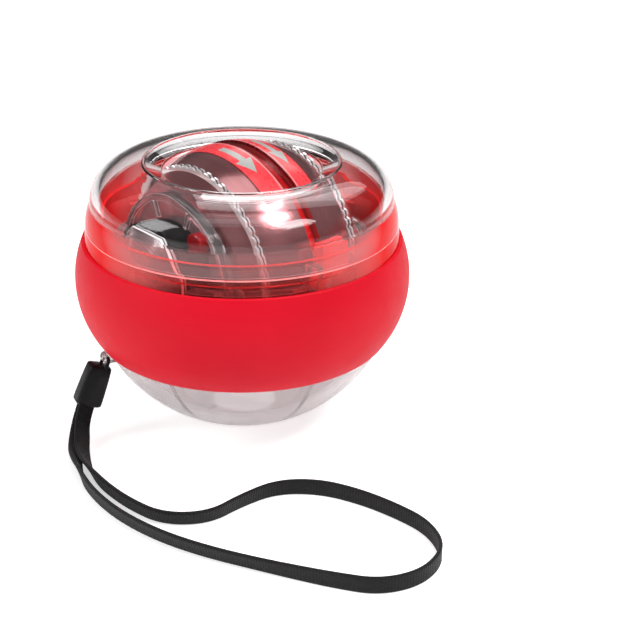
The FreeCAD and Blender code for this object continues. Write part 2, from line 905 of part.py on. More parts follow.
def thumb_ring(side):
    """Ribbed ring that the thumb turns the rotor by."""
    high = thumb_ring_high - press_gap
    low = thumb_ring_low + press_gap
    outer = thumb_ring_widest + thumb_ring_proud
    step = 360 / thumb_ring_teeth
    corners = []
    for tooth in range(thumb_ring_teeth):
        corners.append(around(outer - thumb_tooth_height, step * tooth))
        corners.append(around(outer, step * (tooth + thumb_crest_shares[0])))
        corners.append(around(outer, step * (tooth + thumb_crest_shares[1])))
    ring = polygon_prism(corners, low, high)
    ring = ring.cut(tube(0, thumb_seat_radius + press_gap, low - overrun, high + overrun))
    if side < 0:
        ring = ring.mirror(V(0, 0, 0), UP)
    return on_axle(ring)


def axle():
    core_left = left_recess_floor
    core_right = -right_recess_floor
    nose = axle_tip_radius / 2
    face = outline(
        (0, -tip_end),
        (axle_tip_radius - nose, -tip_end),
        (axle_tip_radius, -tip_end + nose),
        (axle_tip_radius, -tip_start),
        (axle_radius, -tip_start),
        (axle_radius, core_right),
        (axle_core_radius, core_right),
        (axle_core_radius, core_left),
        (axle_radius, core_left),
        (axle_radius, tip_start),
        (axle_tip_radius, tip_start),
        (axle_tip_radius, tip_end - nose),
        (axle_tip_radius - nose, tip_end),
        (0, tip_end),
    )
    return on_axle(turned(face))


# Wrist strap

def clip_frame():
    """Frame of the clip: Z runs down along it, X away from the ball, Y along the eye's hole."""
    eye = eye_frame()
    outwards = eye.Rotation.multVec(V(1, 0, 0))
    lean = math.radians(cord_hang_angle)
    down = outwards * math.sin(lean) - UP * math.cos(lean)
    away = outwards * math.cos(lean) + UP * math.sin(lean)
    return frame_of(eye.Base + down * cord_leg, away, down.cross(away), down)


def rounded_path(points, print_name):
    """Straight runs joined by tangent arcs as large as the runs allow."""
    edges = []
    radii = []
    here = points[0]
    for before, corner, after in zip(points, points[1:], points[2:]):
        run_in = corner - before
        run_out = after - corner
        half_turn = run_in.getAngle(run_out) / 2
        cut = strap_corner_share * min(run_in.Length, run_out.Length)
        radii.append(cut / math.tan(half_turn))
        start = corner - run_in.normalize() * cut
        end = corner + run_out.normalize() * cut
        towards = ((start + end) * 0.5 - corner).normalize()
        middle = corner + towards * radii[-1] * (1 / math.cos(half_turn) - 1)
        edges.append(Part.LineSegment(here, start).toShape())
        edges.append(Part.Arc(start, middle, end).toShape())
        here = end
    edges.append(Part.LineSegment(here, points[-1]).toShape())
    path = Part.Wire(edges)
    print(print_name, "radii", [round(r, 1) for r in radii], "length", round(path.Length, 1))
    return path


def strap_cord():
    """Thin cord: up from the clip, through the eye and back down to the clip."""
    frame = clip_frame()
    leg = eye_width / 2 + cord_diameter / 2 + running_fit
    bend = cord_diameter
    reach = leg + bend - cord_diameter / 2
    down = [
        V(0, -reach, 0), V(0, -reach, -cord_leg + bend),
        V(0, reach, -cord_leg + bend), V(0, reach, 0),
    ]
    start, turn_one, turn_two, end = [frame.multVec(p) for p in down]
    high = frame.multVec(V(0, 0, -cord_leg))
    diagonal = bend * (1 - math.sqrt(0.5))
    first = [V(0, -reach, -cord_leg + bend), V(0, -reach + diagonal, -cord_leg + diagonal),
             V(0, -reach + bend, -cord_leg)]
    second = [V(0, -p.y, p.z) for p in reversed(first)]
    first = [frame.multVec(p) for p in first]
    second = [frame.multVec(p) for p in second]
    edges = [
        Part.LineSegment(start, first[0]).toShape(),
        Part.Arc(*first).toShape(),
        Part.LineSegment(first[2], second[0]).toShape(),
        Part.Arc(*second).toShape(),
        Part.LineSegment(second[2], end).toShape(),
    ]
    path = Part.Wire(edges)
    section = Part.Wire(Part.Circle(start, frame.Rotation.multVec(UP), cord_diameter / 2).toShape())
    cord = path.makePipeShell([section], True, False)
    area = math.pi * cord_diameter ** 2 / 4
    print("strap cord length", round(path.Length, 2), "volume / section x length",
          round(cord.Volume / (area * path.Length), 4))
    return cord


def strap_clip():
    """Moulded clip: a bevelled block with a ridge along both faces."""
    half_width = clip_width / 2
    half_depth = clip_depth / 2
    section = [
        (half_width, -half_depth + clip_bevel), (half_width, half_depth - clip_bevel),
        (half_width - clip_bevel, half_depth),
        (clip_ridge_width / 2 + clip_ridge, half_depth),
        (clip_ridge_width / 2, half_depth + clip_ridge),
        (-clip_ridge_width / 2, half_depth + clip_ridge),
        (-clip_ridge_width / 2 - clip_ridge, half_depth),
        (-half_width + clip_bevel, half_depth),
        (-half_width, half_depth - clip_bevel), (-half_width, -half_depth + clip_bevel),
        (-half_width + clip_bevel, -half_depth), (half_width - clip_bevel, -half_depth),
    ]
    block = polygon_prism(section, 0, clip_length)
    top = [edge for edge in block.Edges if abs(edge.CenterOfMass.z) < same_place]
    block = block.makeChamfer(clip_top_round, top)
    block.translate(V(clip_offset, 0, 0))
    return placed(block, clip_frame())


# Route of the woven strap's middle line: from the clip along the outer strand, round the
# tip and back along the inner strand
strap_rest = strap_width / 2 + strap_floor_gap
strap_strand = strap_thickness / 2 + strap_strand_gap / 2


def strap_route():
    frame = clip_frame()
    outer_end = frame.multVec(V(clip_offset, strap_strand, clip_length))
    inner_end = frame.multVec(V(clip_offset, -strap_strand, clip_length))
    lead = frame.Rotation.multVec(UP) * strap_lead
    route = [outer_end, outer_end + lead]
    route += [V(x, y, z) for x, y, z in strap_outer_drop]
    route += [V(x, y, strap_rest) for x, y in strap_floor_route]
    route += [V(x, y, z) for x, y, z in strap_inner_drop]
    return route + [inner_end + lead, inner_end]


def strap_section(middle, along):
    """Rectangle across the strap, with its width in the upright plane of its run."""
    thick = along.cross(UP).normalize() * (strap_thickness / 2)
    width = thick.cross(along).normalize() * (strap_width / 2)
    corners = [middle + width + thick, middle - width + thick, middle - width - thick,
               middle + width - thick]
    return Part.makePolygon(corners + [corners[0]])


def wrist_strap():
    """Woven strap, standing on its edge where it lies."""
    path = rounded_path(strap_route(), "wrist strap")
    sections = []
    for edge in path.Edges:
        first, last = edge.ParameterRange
        turn = edge.tangentAt(first).getAngle(edge.tangentAt(last))
        facets = 1 + math.floor(turn / math.radians(strap_facet_turn))
        for facet in range(facets):
            at = first + (last - first) * facet / facets
            sections.append(strap_section(edge.valueAt(at), edge.tangentAt(at)))
    sections.append(strap_section(edge.valueAt(last), edge.tangentAt(last)))
    strap = Part.makeLoft(sections, True, True)
    print("wrist strap volume / section x length",
          round(strap.Volume / (strap_width * strap_thickness * path.Length), 4))
    return strap


def spring_gap():
    """Least gap of the mainspring to itself, measured on points of its inner line."""
    edges, end = spiral_edges(spring_inner)
    points_per_arc = 24
    points = []
    for edge in edges:
        points += edge.discretize(points_per_arc)[1:]
    least = min(
        (points[i] - points[j]).Length
        for i in range(len(points)) for j in range(i + points_per_arc, len(points))
    )
    return least - spring_thickness


NODES = {
    "lower_shell": lower_shell,
    "upper_shell": upper_shell,
    "grip_band": grip_band,
    "race_lower": race_lower,
    "race_upper": race_upper,
    "gimbal_ring": gimbal_ring,
    "guide_boss_front": lambda: guide_boss(1),
    "guide_boss_rear": lambda: guide_boss(-1),
    "guide_roller_front": lambda: guide_roller(1),
    "guide_roller_rear": lambda: guide_roller(-1),
    "bush_left": bush_left,
    "bush_right": bush_right,
    "spring_barrel": spring_barrel,
    "spring_cover": spring_cover,
    "starter_screws": starter_screws,
    "mainspring": mainspring,
    "spring_arbor": spring_arbor,
    "ratchet_wheel": ratchet_wheel,
    "pawl_upper": lambda: pawl(0),
    "pawl_lower": lambda: pawl(1),
    "pawl_pins": pawl_pins,
    "rotor_half_left": rotor_half_left,
    "rotor_half_right": rotor_half_right,
    "groove_disc": groove_disc,
    "label_band_left": lambda: label_band(1),
    "label_band_right": lambda: label_band(-1),
    "weight_ring_left": lambda: weight_ring(1),
    "weight_ring_right": lambda: weight_ring(-1),
    "thumb_ring_left": lambda: thumb_ring(1),
    "thumb_ring_right": lambda: thumb_ring(-1),
    "rotor_screws": rotor_screws,
    "axle": axle,
    "strap_cord": strap_cord,
    "strap_clip": strap_clip,
    "wrist_strap": wrist_strap,
}

os.makedirs("parts", exist_ok=True)
for name, make in NODES.items():
    solid = make()
    assert solid.isValid(), name
    solid.exportStep(os.path.join("parts", name + ".step"))
    box = solid.BoundBox
    print(name, len(solid.Solids), "solids", round(solid.Volume, 1), "mm3",
          [round(v, 2) for v in (box.XMin, box.YMin, box.ZMin, box.XMax, box.YMax, box.ZMax)])
print("mainspring's least gap to itself", round(spring_gap(), 2))
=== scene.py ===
import bpy
import bmesh
import json
import math
from mathutils import Matrix, Vector


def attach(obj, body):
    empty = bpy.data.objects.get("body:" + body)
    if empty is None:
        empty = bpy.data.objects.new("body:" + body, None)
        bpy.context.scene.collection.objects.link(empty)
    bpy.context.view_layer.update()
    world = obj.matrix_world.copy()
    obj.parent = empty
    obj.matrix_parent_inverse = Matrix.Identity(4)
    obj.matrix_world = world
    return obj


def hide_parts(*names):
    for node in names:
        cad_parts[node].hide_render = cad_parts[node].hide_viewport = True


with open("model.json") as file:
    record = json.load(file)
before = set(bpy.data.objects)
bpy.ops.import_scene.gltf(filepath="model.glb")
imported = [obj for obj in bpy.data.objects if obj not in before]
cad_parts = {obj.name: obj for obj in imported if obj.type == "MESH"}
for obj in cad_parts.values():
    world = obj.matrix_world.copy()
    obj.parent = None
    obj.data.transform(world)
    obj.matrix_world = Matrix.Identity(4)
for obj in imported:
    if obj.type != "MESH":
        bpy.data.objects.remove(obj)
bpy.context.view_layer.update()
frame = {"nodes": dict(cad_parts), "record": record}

# The ball's own sizes and directions, in metres, as the solids have them.
MM = 0.001
UP = Vector((0.0, 0.0, 1.0))
ROTOR_RADIUS = 25.0 * MM
ROTOR_CENTRE = Vector((0.0, 0.0, 37.0875)) * MM
AXLE_TURN = math.radians(47.0)
AXLE = Vector((-math.sin(AXLE_TURN), -math.cos(AXLE_TURN), 0.0))
SIDE = UP.cross(AXLE)
AXLE_SPACE = Matrix((SIDE, UP, AXLE)).transposed()
SEAM_HEIGHT = 45.19 * MM
SHOULDER_HEIGHT = 50.39 * MM
GROOVE_HALF = 1.45 * MM
LABEL_END = 6.95 * MM
RIBBED_MIDDLE = 12.2 * MM
COVER_BACK = 24.2 * MM
COVER_STEP = 25.4 * MM
COVER_SIDES = 8

BODY_OF = {
    node: body
    for body, nodes in frame["record"]["behaviour"]["bodies"].items() for node in nodes
}
SLOT_OF = {part["node"]: part["material_slot"] for part in frame["record"]["subparts"]}


# Node trees

def new_finish(name):
    """An empty material and its node tree."""
    made = bpy.data.materials.new(name)
    made.use_nodes = True
    made.node_tree.nodes.clear()
    return made, made.node_tree


def put(tree, kind, sockets=None, **settings):
    """Adds a node. Sockets are given a number, a colour or another node's output."""
    added = tree.nodes.new(kind)
    for key, value in settings.items():
        setattr(added, key, value)
    for key, value in (sockets or {}).items():
        if isinstance(value, bpy.types.NodeSocket):
            tree.links.new(value, added.inputs[key])
        else:
            added.inputs[key].default_value = value
    return added


def spot(tree):
    """Place on the piece, in metres."""
    return put(tree, "ShaderNodeTexCoord").outputs["Object"]


def split(tree, vector):
    """The three numbers of a place, by name."""
    return put(tree, "ShaderNodeSeparateXYZ", {0: vector}).outputs


def height_of(tree):
    """Height over the floor, in metres."""
    return split(tree, spot(tree))["Z"]


def spot_on_axle(tree):
    """Place counted from the rotor's middle: X to the front guide, Y up, Z along the axle."""
    turned = put(tree, "ShaderNodeMapping", {
        "Vector": spot(tree),
        "Location": ROTOR_CENTRE,
        "Rotation": AXLE_SPACE.to_euler("XYZ"),
    }, vector_type="TEXTURE")
    return turned.outputs["Vector"]


def stretched(tree, vector, scale):
    """The same place with its three directions scaled."""
    return put(tree, "ShaderNodeMapping", {"Vector": vector, "Scale": scale}).outputs["Vector"]


def grain(tree, vector, scale, detail=3.0, roughness=0.5):
    """Cloudy noise from 0 to 1, with so many blotches to the metre."""
    return put(tree, "ShaderNodeTexNoise", {
        "Vector": vector, "Scale": scale, "Detail": detail, "Roughness": roughness,
    }).outputs["Fac"]


def between(tree, value, low, high, to_low=0.0, to_high=1.0):
    """Carries a range of a value onto another one."""
    return put(tree, "ShaderNodeMapRange", {
        "Value": value, "From Min": low, "From Max": high, "To Min": to_low, "To Max": to_high,
    }).outputs["Result"]


def sums(tree, how, one, other=0.0):
    """One step of arithmetic."""
    return put(tree, "ShaderNodeMath", {0: one, 1: other}, operation=how).outputs[0]


def inside(tree, value, low, high, soft):
    """One where a value lies between two limits, zero outside them."""
    rising = between(tree, value, low, low + soft)
    falling = between(tree, value, high, high - soft)
    return sums(tree, "MULTIPLY", rising, falling)


def blended(tree, share, one, other):
    """Mix of two colours."""
    mixed = put(tree, "ShaderNodeMix", data_type="RGBA")
    for place, value in ((0, share), (6, one), (7, other)):
        socket = mixed.inputs[place]
        if isinstance(value, bpy.types.NodeSocket):
            tree.links.new(value, socket)
        elif isinstance(value, tuple) and len(value) == 3:
            socket.default_value = value + (1.0,)
        else:
            socket.default_value = value
    return mixed.outputs[2]


def dents(tree, height, depth, strength):
    """Bump of a given depth in metres."""
    return put(tree, "ShaderNodeBump", {
        "Height": height, "Distance": depth, "Strength": strength,
    }).outputs["Normal"]


def surface(material, sockets, light_passes=0.0):
    """Closes a material with its shader. Clear pieces let a share of the lamps' light through."""
    tree = material.node_tree
    shader = put(tree, "ShaderNodeBsdfPrincipled", sockets)
    out = put(tree, "ShaderNodeOutputMaterial")
    end = shader.outputs[0]
    if light_passes:
        rays = put(tree, "ShaderNodeLightPath")
        passed = put(tree, "ShaderNodeBsdfTransparent", {"Color": (light_passes,) * 3 + (1.0,)})
        end = put(tree, "ShaderNodeMixShader", {
            0: rays.outputs["Is Shadow Ray"], 1: end, 2: passed.outputs[0],
        }).outputs[0]
    tree.links.new(end, out.inputs["Surface"])
    return material


# Finishes

# Pale colour given to the rounded edges of clear pieces: a painted highlight.
EDGE_PAINTED_HIGHLIGHT = (0.93, 0.86, 0.87)
MOULDED_IOR = 1.5
WALL_GLOSS = 0.12
SEAM_COVER = 0.55
RIM_COVER = 0.82
LOWER_MILKY, LOWER_CLEAR = 22.0 * MM, 28.0 * MM
LOWER_RED_FROM, LOWER_RED_FULL = 30.0 * MM, 40.0 * MM
WEBBING_RIB = 0.62 * MM
WEBBING_ROW = 0.52 * MM
BRAID_STRANDS = 4
BRAID_RISE = 0.6 * MM


def edge_on(tree, blend=0.35):
    """Rises where a clear wall is seen along its length, which looks deeper in colour."""
    return put(tree, "ShaderNodeLayerWeight", {"Blend": blend}).outputs["Facing"]


def rounded_edge(tree):
    """One on the rounded edges that are marked on a piece, zero on the rest."""
    return put(tree, "ShaderNodeAttribute", attribute_name="edge").outputs["Fac"]


def clear_plastic(name, tint, edge):
    """Polished clear plastic: a painted highlight on its rounded edges, faint moulding waves, a few
    rubbed places.
    """
    made, tree = new_finish(name)
    here = spot(tree)
    rubbed = grain(tree, here, 420.0, 5.0, 0.65)
    line = rounded_edge(tree)
    return surface(made, {
        # Rounded edges are coloured pale and let little light through: a painted highlight.
        "Base Color": blended(tree, line, blended(tree, edge_on(tree), tint, edge), EDGE_PAINTED_HIGHLIGHT),
        "Transmission Weight": between(tree, line, 0.0, 1.0, 0.94, 0.12),
        "IOR": 1.22,
        "Roughness": between(tree, rubbed, 0.52, 0.75, 0.01, 0.04),
        "Normal": dents(tree, grain(tree, here, 70.0, 1.5), 0.00012, 0.35),
    }, 0.9)


def upper_shell_finish():
    """Clear plastic, red where it is seen edge-on over the race, with a rubbed line at the seam."""
    made, tree = new_finish("clear_upper")
    here = spot(tree)
    height = height_of(tree)
    facing = edge_on(tree, 0.4)
    seam = inside(tree, height, SEAM_HEIGHT - 0.04 * MM, SEAM_HEIGHT + 0.09 * MM, 0.03 * MM)
    rim = inside(tree, height, SEAM_HEIGHT, SHOULDER_HEIGHT, 0.25 * MM)
    red = sums(tree, "MULTIPLY", rim, between(tree, facing, 0.10, 0.45, 0.34, 1.0))
    rubbed = grain(tree, here, 420.0, 5.0, 0.65)
    rough = between(tree, rubbed, 0.55, 0.78, 0.0, 0.025)
    clear = blended(tree, edge_on(tree), (0.985, 0.98, 0.982), (0.58, 0.50, 0.51))
    clear = blended(tree, red, clear, (0.80, 0.008, 0.009))
    rim_cover = sums(tree, "MULTIPLY", sums(tree, "POWER", red, 2.0), RIM_COVER)
    opaque = sums(tree, "MAXIMUM", sums(tree, "MULTIPLY", seam, SEAM_COVER), rim_cover)
    return surface(made, {
        "Base Color": blended(tree, seam, clear, (0.92, 0.74, 0.73)),
        "Transmission Weight": sums(tree, "SUBTRACT", 1.0, opaque),
        "IOR": 1.33,
        "Specular IOR Level": WALL_GLOSS,
        "Roughness": sums(tree, "MAXIMUM", rough, sums(tree, "MULTIPLY", seam, 0.2)),
        "Normal": dents(tree, grain(tree, here, 70.0, 1.5), 0.00012, 0.3),
    }, 0.92)


def lower_shell_finish():
    """Clear plastic: a little milky under the band, tinted red where it holds the race."""
    made, tree = new_finish("clear_lower")
    here = spot(tree)
    height = height_of(tree)
    red = between(tree, height, LOWER_RED_FROM, LOWER_RED_FULL)
    facing = edge_on(tree, 0.4)
    low = blended(tree, facing, (0.94, 0.895, 0.90), (0.74, 0.69, 0.70))
    high = blended(tree, between(tree, facing, 0.08, 0.5), (0.97, 0.44, 0.43), (0.86, 0.012, 0.012))
    cover = between(tree, sums(tree, "MULTIPLY", red, facing), 0.12, 0.5, 1.0, 0.3)
    milky = between(tree, height, LOWER_MILKY, LOWER_CLEAR, 0.76, 1.0)
    rubbed = grain(tree, here, 380.0, 5.0, 0.65)
    return surface(made, {
        "Base Color": blended(tree, red, low, high),
        "Transmission Weight": sums(tree, "MULTIPLY", cover, milky),
        "IOR": 1.15,
        "Specular IOR Level": WALL_GLOSS,
        "Roughness": between(tree, rubbed, 0.52, 0.75, 0.012, 0.07),
        "Normal": dents(tree, grain(tree, here, 80.0, 2.0), 0.00014, 0.4),
    }, 0.85)


def tinted_plastic(name, deep, light, transmission, rough, passes):
    """Translucent moulded plastic, a little uneven in its depth of colour."""
    made, tree = new_finish(name)
    here = spot(tree)
    return surface(made, {
        "Base Color": blended(tree, grain(tree, here, 60.0, 3.0), deep, light),
        "Transmission Weight": transmission,
        "IOR": MOULDED_IOR,
        "Roughness": between(tree, grain(tree, here, 500.0, 4.0), 0.3, 0.7, rough, rough + 0.05),
        "Normal": dents(tree, grain(tree, here, 90.0, 2.0), 0.0001, 0.3),
    }, passes)


def race_finish():
    """Clear red plastic: pale where it is seen straight on, deep and bright edge-on."""
    made, tree = new_finish("race_clear_red")
    here = spot(tree)
    facing = between(tree, edge_on(tree, 0.4), 0.10, 0.52)
    return surface(made, {
        "Base Color": blended(tree, facing, (0.97, 0.36, 0.36), (0.90, 0.012, 0.014)),
        "Transmission Weight": between(tree, facing, 0.0, 1.0, 0.98, 0.42),
        "IOR": 1.16,
        "Specular IOR Level": WALL_GLOSS,
        "Roughness": between(tree, grain(tree, here, 500.0, 4.0), 0.45, 0.75, 0.0, 0.03),
        "Normal": dents(tree, grain(tree, here, 90.0, 2.0), 0.0001, 0.3),
    }, 0.85)


def silicone_finish():
    """Soft satin silicone: fine even grain, slight clouding and a little dust."""
    made, tree = new_finish("silicone")
    here = spot(tree)
    cloud = grain(tree, here, 45.0, 4.0)
    fine = grain(tree, here, 5200.0, 2.0)
    dust = grain(tree, here, 260.0, 6.0, 0.7)
    patches = between(tree, cloud, 0.3, 0.7)
    colour = blended(tree, patches, (0.69, 0.0026, 0.016), (0.75, 0.0040, 0.022))
    colour = blended(tree, between(tree, dust, 0.64, 0.88, 0.0, 0.06), colour, (0.80, 0.08, 0.10))
    return surface(made, {
        "Base Color": colour,
        "Roughness": between(tree, dust, 0.3, 0.7, 0.46, 0.58),
        "IOR": 1.38,
        "Specular IOR Level": 0.24,
        "Subsurface Weight": 0.10,
        "Subsurface Radius": (0.9, 0.2, 0.15),
        "Subsurface Scale": 0.0016,
        "Normal": dents(tree, fine, 0.00004, 0.5),
    })


def rotor_finish():
    """Dusky rose metallic skin with soft turned rings round the axle and a clear lacquer."""
    made, tree = new_finish("rotor_rose")
    here = spot_on_axle(tree)
    rings = grain(tree, stretched(tree, here, (30.0, 30.0, 4200.0)), 1.0, 2.0)
    broad = grain(tree, stretched(tree, here, (6.0, 6.0, 300.0)), 1.0, 2.0)
    cloud = grain(tree, here, 110.0, 4.0)
    colour = blended(tree, broad, (0.30, 0.090, 0.100), (0.54, 0.250, 0.260))
    dusk = between(tree, cloud, 0.35, 0.75, 0.0, 0.30)
    colour = blended(tree, dusk, colour, (0.17, 0.028, 0.035))
    return surface(made, {
        "Base Color": colour,
        "Metallic": 0.80,
        "Roughness": between(tree, rings, 0.25, 0.75, 0.17, 0.24),
        "Coat Weight": 0.5,
        "Coat Roughness": 0.05,
        "Normal": dents(tree, rings, 0.000004, 0.5),
    })


def label_finish():
    """Printed film: coral red with a dark line at its edge and a pale one by the groove."""
    made, tree = new_finish("label_red")
    here = spot_on_axle(tree)
    along = sums(tree, "ABSOLUTE", split(tree, here)["Z"])
    cloud = grain(tree, spot(tree), 90.0, 3.0)
    colour = blended(tree, cloud, (0.86, 0.042, 0.056), (0.90, 0.052, 0.066))
    dark = sums(tree, "MAXIMUM",
                between(tree, along, LABEL_END - 0.40 * MM, LABEL_END - 0.25 * MM),
                between(tree, along, GROOVE_HALF + 0.30 * MM, GROOVE_HALF + 0.15 * MM))
    colour = blended(tree, dark, colour, (0.13, 0.002, 0.004))
    pale = inside(tree, along, GROOVE_HALF + 0.35 * MM, GROOVE_HALF + 0.75 * MM, 0.08 * MM)
    colour = blended(tree, pale, colour, (0.86, 0.30, 0.31))
    return surface(made, {
        "Base Color": colour,
        "Roughness": between(tree, grain(tree, here, 800.0, 3.0), 0.3, 0.7, 0.24, 0.34),
        "Coat Weight": 0.25,
        "Coat Roughness": 0.1,
        "Normal": dents(tree, grain(tree, here, 3000.0, 2.0), 0.00001, 0.4),
    })


def silver_ink():
    """Silver print of the arrows, with a fine flake."""
    made, tree = new_finish("arrow_silver")
    here = spot(tree)
    flake = grain(tree, here, 6000.0, 2.0)
    return surface(made, {
        "Base Color": blended(tree, flake, (0.40, 0.40, 0.38), (0.64, 0.64, 0.62)),
        "Metallic": 0.35,
        "Roughness": between(tree, flake, 0.3, 0.7, 0.28, 0.42),
        "Normal": dents(tree, flake, 0.00001, 0.4),
    })


def moulded(name, deep, light, rough, coat=0.0, depth=0.00003, gloss=0.5):
    """Opaque moulded plastic with a fine spark-eroded grain."""
    made, tree = new_finish(name)
    here = spot(tree)
    return surface(made, {
        "Base Color": blended(tree, grain(tree, here, 140.0, 4.0), deep, light),
        "Roughness": between(tree, grain(tree, here, 600.0, 4.0), 0.3, 0.7, rough, rough + 0.12),
        "Coat Weight": coat,
        "Coat Roughness": 0.06,
        "Specular IOR Level": gloss,
        "Normal": dents(tree, grain(tree, here, 2400.0, 3.0), depth, 0.5),
    })


def metal(name, colour, rough, turned=True, metallic=1.0):
    """Turned or stamped metal: fine marks and faint discoloration."""
    made, tree = new_finish(name)
    here = spot_on_axle(tree)
    if turned:
        marks = grain(tree, stretched(tree, here, (120.0, 120.0, 7000.0)), 1.0, 2.0)
    else:
        marks = grain(tree, here, 2100.0, 4.0)
    stain = grain(tree, here, 300.0, 4.0)
    darker = tuple(c * 0.72 for c in colour)
    return surface(made, {
        "Base Color": blended(tree, between(tree, stain, 0.35, 0.7), colour, darker),
        "Metallic": metallic,
        "Roughness": between(tree, marks, 0.25, 0.75, rough, rough + 0.14),
        "Normal": dents(tree, marks, 0.00001, 0.5),
    })


def ribbed_ring_finish():
    """Glassy ring painted bright, with a darker line round its middle: a painted reflection."""
    made, tree = new_finish("thumb_clear")
    here = spot_on_axle(tree)
    along = sums(tree, "ABSOLUTE", split(tree, here)["Z"])
    # The bright body colour and the dark line round the middle are a painted reflection.
    line = inside(tree, along, RIBBED_MIDDLE - 0.30 * MM, RIBBED_MIDDLE + 0.16 * MM, 0.10 * MM)
    rubbed = grain(tree, spot(tree), 500.0, 4.0)
    return surface(made, {
        "Base Color": blended(tree, line, (0.93, 0.89, 0.895), (0.16, 0.10, 0.11)),
        "Metallic": 0.35,
        "Transmission Weight": 0.45,
        "IOR": MOULDED_IOR,
        "Roughness": between(tree, rubbed, 0.4, 0.7, 0.05, 0.12),
        "Normal": dents(tree, grain(tree, here, 90.0, 2.0), 0.00005, 0.3),
    }, 0.5)


def cover_finish():
    """Clear cap: a skirt painted near white with a dark stripe as a reflection, then smoky bevels
    cut in eight facets, with painted shade across each facet and a painted glint at its corners.
    """
    made, tree = new_finish("cover_clear")
    here = spot_on_axle(tree)
    parts = split(tree, here)
    along = parts["Z"]
    skirt = inside(tree, along, COVER_BACK - 0.3 * MM, COVER_STEP + 0.08 * MM, 0.05 * MM)
    # The skirt is coloured near white with a dark stripe round it: a painted reflection.
    line = inside(tree, along, COVER_BACK + 0.35 * MM, COVER_BACK + 0.75 * MM, 0.10 * MM)
    turn = sums(tree, "ARCTAN2", parts["Y"], parts["X"])
    # Each facet's smoky colour runs from light to dark across it: painted shade on the facets.
    facet = sums(tree, "FRACT", sums(tree, "MULTIPLY_ADD", turn, COVER_SIDES / (2 * math.pi)))
    to_corner = sums(tree, "ABSOLUTE", between(tree, facet, 0.0, 1.0, -1.0, 1.0))
    # Near each facet's corner the colour turns pale: a painted glint.
    painted_glint = sums(tree, "POWER", to_corner, 6.0)
    smoky_shaded_facets = blended(tree, facet, (0.34, 0.23, 0.25), (0.07, 0.035, 0.04))
    smoky_shaded_facets = blended(tree, painted_glint, smoky_shaded_facets, (0.86, 0.80, 0.81))
    painted_mirror_skirt = blended(tree, line, (0.95, 0.94, 0.945), (0.07, 0.045, 0.05))
    # Rounded edges of the front face get the pale edge colour: a painted highlight.
    rim = sums(tree, "MULTIPLY", rounded_edge(tree), sums(tree, "GREATER_THAN", along, COVER_STEP))
    rubbed = grain(tree, spot(tree), 500.0, 4.0)
    return surface(made, {
        "Base Color": blended(tree, rim, blended(tree, skirt, smoky_shaded_facets, painted_mirror_skirt), EDGE_PAINTED_HIGHLIGHT),
        "Transmission Weight": between(
            tree, sums(tree, "MAXIMUM", rim, skirt), 0.0, 1.0, 0.70, 0.30),
        "IOR": MOULDED_IOR,
        "Roughness": between(tree, rubbed, 0.4, 0.7, 0.02, 0.08),
        "Normal": dents(tree, grain(tree, here, 90.0, 2.0), 0.00008, 0.3),
    }, 0.5)


def webbing_finish():
    """Flat woven webbing: ribs across the strap, ridges along it, and a painted grey highlight on
    the raised fibres.
    """
    made, tree = new_finish("strap_black")
    cloth = put(tree, "ShaderNodeUVMap", uv_map="weave").outputs["UV"]
    parts = split(tree, cloth)
    ribs = sums(tree, "SINE", sums(tree, "MULTIPLY", parts["Y"], 2 * math.pi / WEBBING_RIB))
    rows = sums(tree, "SINE", sums(tree, "MULTIPLY", parts["X"], 2 * math.pi / WEBBING_ROW))
    woven = sums(tree, "MULTIPLY", ribs, rows)
    fibre = grain(tree, stretched(tree, cloth, (9000.0, 2600.0, 1.0)), 1.0, 3.0)
    height = sums(
        tree, "ADD", sums(tree, "MULTIPLY", woven, 0.5), sums(tree, "MULTIPLY", ribs, 0.3))
    height = sums(tree, "ADD", height, sums(tree, "MULTIPLY", fibre, 0.5))
    # Colour is lighter where the weave rises and with the fibre noise: a painted highlight on
    # raised threads over a random fibre tone.
    light = between(tree, sums(tree, "ADD", woven, fibre), 0.7, 1.6)
    worn = grain(tree, stretched(tree, cloth, (240.0, 90.0, 1.0)), 1.0, 4.0)
    colour = blended(tree, light, (0.004, 0.004, 0.005), (0.020, 0.020, 0.022))
    faded = between(tree, worn, 0.5, 0.85, 0.0, 0.30)
    colour = blended(tree, faded, colour, (0.028, 0.028, 0.031))
    return surface(made, {
        "Base Color": colour,
        "Roughness": between(tree, fibre, 0.2, 0.8, 0.66, 0.88),
        "Sheen Weight": 0.12,
        "Sheen Roughness": 0.45,
        "Specular IOR Level": 0.3,
        "Normal": dents(tree, height, 0.00010, 0.8),
    })


def cord_finish():
    """Braided nylon cord: two sets of strands that cross, painted lighter on their crests and
    darker between them as highlight and shade.
    """
    made, tree = new_finish("cord_nylon")
    cloth = put(tree, "ShaderNodeUVMap", uv_map="weave").outputs["UV"]
    parts = split(tree, cloth)
    turns = sums(tree, "MULTIPLY", parts["X"], BRAID_STRANDS * 2 * math.pi)
    rise = sums(tree, "MULTIPLY", parts["Y"], 2 * math.pi / BRAID_RISE)
    one = sums(tree, "SINE", sums(tree, "ADD", turns, rise))
    two = sums(tree, "SINE", sums(tree, "SUBTRACT", turns, rise))
    braid = sums(tree, "MAXIMUM", one, two)
    # Lighter on the strands' crests, darker between them: painted highlight and painted shade.
    light = between(tree, braid, 0.0, 1.0)
    return surface(made, {
        "Base Color": blended(tree, light, (0.004, 0.004, 0.005), (0.022, 0.022, 0.025)),
        "Roughness": 0.75,
        "Specular IOR Level": 0.15,
        "Normal": dents(tree, braid, 0.00006, 0.8),
    })


